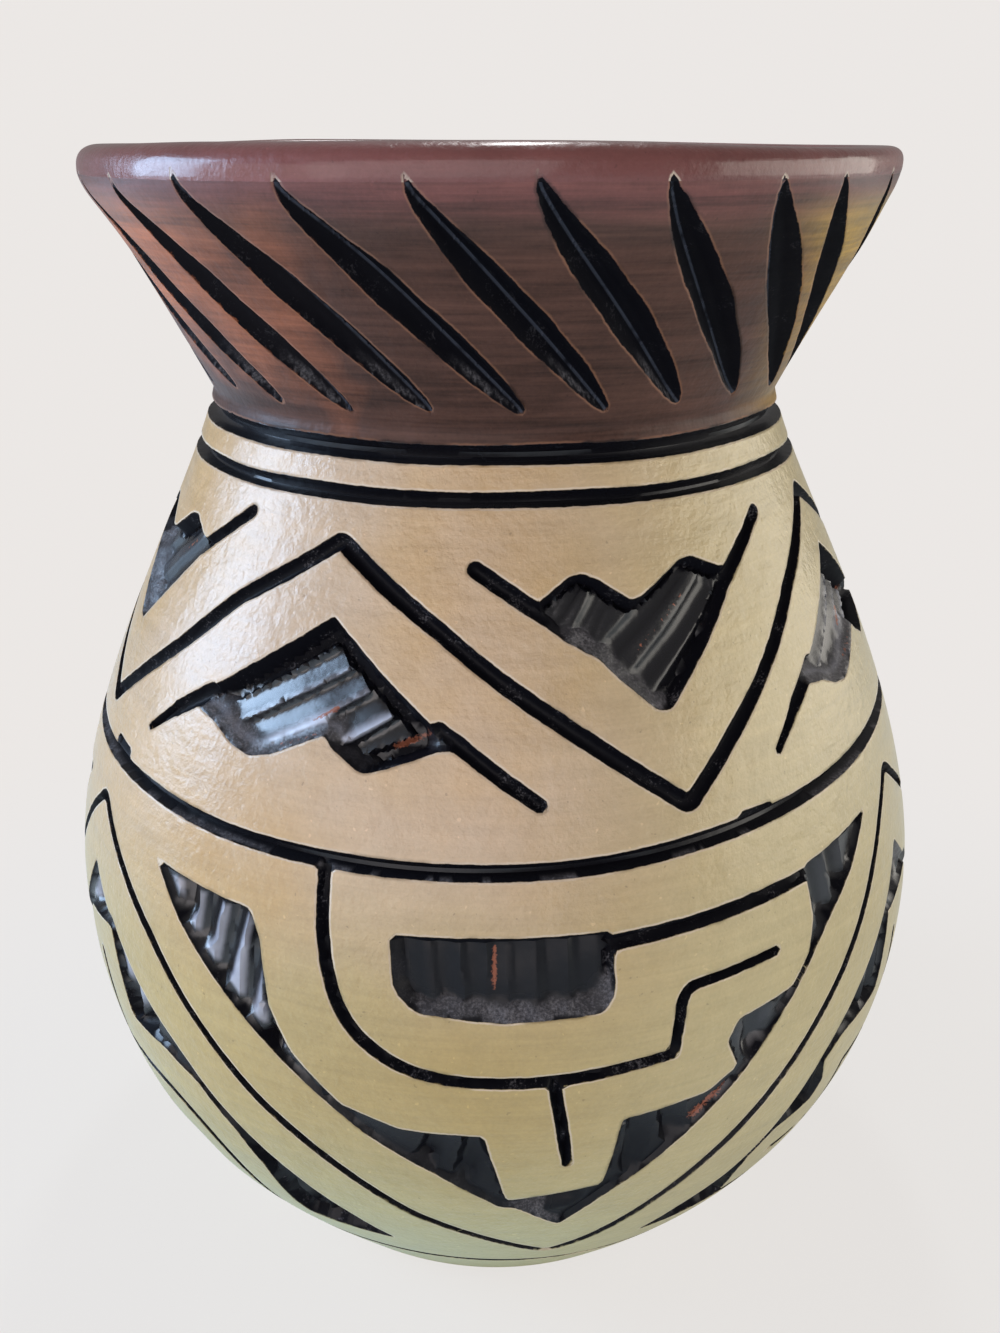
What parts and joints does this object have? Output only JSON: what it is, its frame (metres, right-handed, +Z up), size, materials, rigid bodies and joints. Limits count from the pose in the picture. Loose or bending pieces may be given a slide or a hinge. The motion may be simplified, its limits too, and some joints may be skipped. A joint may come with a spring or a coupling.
{
  "type": "carved redware vase",
  "caption": "Round-bellied clay vase with a flared collar, ring grooves, slashed collar and stepped-fret carving cut through a pale slip.",
  "frame": {"origin": "centre of the flat base, on the surface that the vase stands on", "axes": "+Z up the vase's axis to the mouth, -Y the side that the picture shows, +X to that side's right"},
  "size_m": [0.1607, 0.1608, 0.2],
  "materials": {
    "pale_slip": "pale tan slip under a thin clear lacquer, black stain in the cuts",
    "brown_slip": "brown slip with horizontal brush streaks under a clear lacquer",
    "red_slip": "dark red slip, glossy lacquer"
  },
  "bodies": {
    "root": {"base_dish": "pale_slip", "lower_bowl": "pale_slip", "shoulder_wall": "pale_slip", "neck_band": "pale_slip", "flared_collar": "brown_slip", "lip_coil": "red_slip"}
  },
  "joints": []
}
